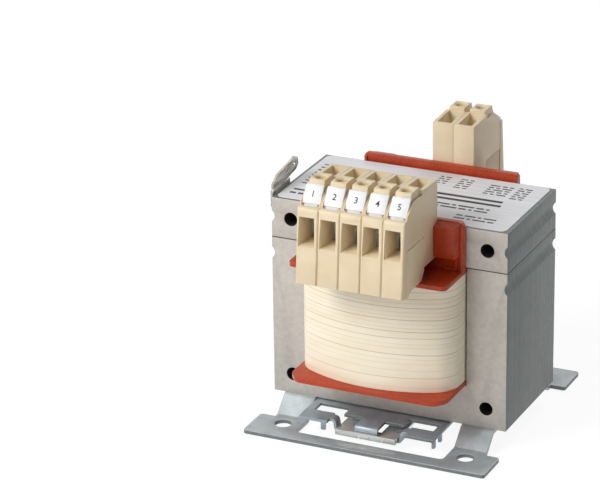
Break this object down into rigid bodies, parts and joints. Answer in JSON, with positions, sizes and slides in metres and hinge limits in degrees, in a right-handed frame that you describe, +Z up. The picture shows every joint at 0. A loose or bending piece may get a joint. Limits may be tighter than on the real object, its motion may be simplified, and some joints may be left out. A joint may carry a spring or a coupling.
{
  "type": "single-phase transformer",
  "caption": "Open single-phase transformer: laminated steel core, taped coil on a moulded bobbin, clamp terminals front and back, screw feet and a sprung clip for a 35 mm rail.",
  "frame": {"origin": "middle of the bounding box's base, on the mounting surface", "axes": "+X along the core's width to the right seen from the five terminals, +Y from the five terminals to the two at the back, +Z up"},
  "size_m": [0.0866, 0.1064, 0.0949],
  "materials": {
    "core_steel": "varnished sheet steel",
    "bobbin_plastic": "satin",
    "winding_copper": "enamelled copper wire",
    "insulation_film": "matte",
    "winding_tape": "matte",
    "lead_copper": "enamelled copper wire",
    "label_film": "printed film",
    "tinned_brass": "tinned",
    "galvanised_steel": "galvanised",
    "clip_steel": "galvanised",
    "spring_steel": "bright",
    "spring_wire": "bright",
    "terminal_plastic": "satin",
    "marker_plastic": "satin",
    "contact_brass": "bright",
    "screw_steel": "plated",
    "cage_steel": "plated"
  },
  "bodies": {
    "frame": {"core_e_stack": "core_steel", "core_i_stack": "core_steel", "bobbin": "bobbin_plastic", "primary_winding": "winding_copper", "winding_insulation": "insulation_film", "secondary_winding": "winding_copper", "outer_tape": "winding_tape", "winding_leads": "lead_copper", "rating_label": "label_film", "earth_tab": "tinned_brass", "foot_bracket": "galvanised_steel", "rail_clip_plate": "clip_steel", "latch_spring": "spring_wire", "front_housing_1": "terminal_plastic", "front_housing_2": "terminal_plastic", "front_housing_3": "terminal_plastic", "front_housing_4": "terminal_plastic", "front_housing_5": "terminal_plastic", "rear_housing_1": "terminal_plastic", "rear_housing_2": "terminal_plastic", "marker_tag_1": "marker_plastic", "marker_tag_2": "marker_plastic", "marker_tag_3": "marker_plastic", "marker_tag_4": "marker_plastic", "marker_tag_5": "marker_plastic", "front_contact_bar_1": "contact_brass", "front_contact_bar_2": "contact_brass", "front_contact_bar_3": "contact_brass", "front_contact_bar_4": "contact_brass", "front_contact_bar_5": "contact_brass", "rear_contact_bar_1": "contact_brass", "rear_contact_bar_2": "contact_brass"},
    "front_screw_1": {"front_clamp_screw_1": "screw_steel"},
    "front_cage_1": {"front_clamp_cage_1": "cage_steel"},
    "front_screw_2": {"front_clamp_screw_2": "screw_steel"},
    "front_cage_2": {"front_clamp_cage_2": "cage_steel"},
    "front_screw_3": {"front_clamp_screw_3": "screw_steel"},
    "front_cage_3": {"front_clamp_cage_3": "cage_steel"},
    "front_screw_4": {"front_clamp_screw_4": "screw_steel"},
    "front_cage_4": {"front_clamp_cage_4": "cage_steel"},
    "front_screw_5": {"front_clamp_screw_5": "screw_steel"},
    "front_cage_5": {"front_clamp_cage_5": "cage_steel"},
    "rear_screw_1": {"rear_clamp_screw_1": "screw_steel"},
    "rear_cage_1": {"rear_clamp_cage_1": "cage_steel"},
    "rear_screw_2": {"rear_clamp_screw_2": "screw_steel"},
    "rear_cage_2": {"rear_clamp_cage_2": "cage_steel"},
    "latch": {"rail_latch": "spring_steel"}
  },
  "joints": [
    {"name": "front_screw_turn_1", "type": "hinge", "parent": "frame", "child": "front_screw_1", "pos_m": [-0.015, -0.0405, 0.0872], "axis": [0, 0, -1], "range_deg": [0, 2880]},
    {"name": "front_cage_rise_1", "type": "slide", "parent": "frame", "child": "front_cage_1", "axis": [0, 0, 1], "range_m": [0, 0.004]},
    {"name": "front_screw_turn_2", "type": "hinge", "parent": "frame", "child": "front_screw_2", "pos_m": [-0.0075, -0.0405, 0.0872], "axis": [0, 0, -1], "range_deg": [0, 2880]},
    {"name": "front_cage_rise_2", "type": "slide", "parent": "frame", "child": "front_cage_2", "axis": [0, 0, 1], "range_m": [0, 0.004]},
    {"name": "front_screw_turn_3", "type": "hinge", "parent": "frame", "child": "front_screw_3", "pos_m": [0, -0.0405, 0.0872], "axis": [0, 0, -1], "range_deg": [0, 2880]},
    {"name": "front_cage_rise_3", "type": "slide", "parent": "frame", "child": "front_cage_3", "axis": [0, 0, 1], "range_m": [0, 0.004]},
    {"name": "front_screw_turn_4", "type": "hinge", "parent": "frame", "child": "front_screw_4", "pos_m": [0.0075, -0.0405, 0.0872], "axis": [0, 0, -1], "range_deg": [0, 2880]},
    {"name": "front_cage_rise_4", "type": "slide", "parent": "frame", "child": "front_cage_4", "axis": [0, 0, 1], "range_m": [0, 0.004]},
    {"name": "front_screw_turn_5", "type": "hinge", "parent": "frame", "child": "front_screw_5", "pos_m": [0.015, -0.0405, 0.0872], "axis": [0, 0, -1], "range_deg": [0, 2880]},
    {"name": "front_cage_rise_5", "type": "slide", "parent": "frame", "child": "front_cage_5", "axis": [0, 0, 1], "range_m": [0, 0.004]},
    {"name": "rear_screw_turn_1", "type": "hinge", "parent": "frame", "child": "rear_screw_1", "pos_m": [0, 0.0405, 0.0872], "axis": [0, 0, -1], "range_deg": [0, 2880]},
    {"name": "rear_cage_rise_1", "type": "slide", "parent": "frame", "child": "rear_cage_1", "axis": [0, 0, 1], "range_m": [0, 0.004]},
    {"name": "rear_screw_turn_2", "type": "hinge", "parent": "frame", "child": "rear_screw_2", "pos_m": [0.0075, 0.0405, 0.0872], "axis": [0, 0, -1], "range_deg": [0, 2880]},
    {"name": "rear_cage_rise_2", "type": "slide", "parent": "frame", "child": "rear_cage_2", "axis": [0, 0, 1], "range_m": [0, 0.004]},
    {"name": "latch_slide", "type": "slide", "parent": "frame", "child": "latch", "axis": [0, -1, 0], "range_m": [0, 0.003], "stiffness_N_per_m": 800, "springref_m": -0.002, "deforming": ["latch_spring"]}
  ],
  "couplings": [
    {"joint": "front_screw_turn_1", "follows": "front_cage_rise_1", "rad_per_m": 12566},
    {"joint": "front_screw_turn_2", "follows": "front_cage_rise_2", "rad_per_m": 12566},
    {"joint": "front_screw_turn_3", "follows": "front_cage_rise_3", "rad_per_m": 12566},
    {"joint": "front_screw_turn_4", "follows": "front_cage_rise_4", "rad_per_m": 12566},
    {"joint": "front_screw_turn_5", "follows": "front_cage_rise_5", "rad_per_m": 12566},
    {"joint": "rear_screw_turn_1", "follows": "rear_cage_rise_1", "rad_per_m": 12566},
    {"joint": "rear_screw_turn_2", "follows": "rear_cage_rise_2", "rad_per_m": 12566}
  ]
}
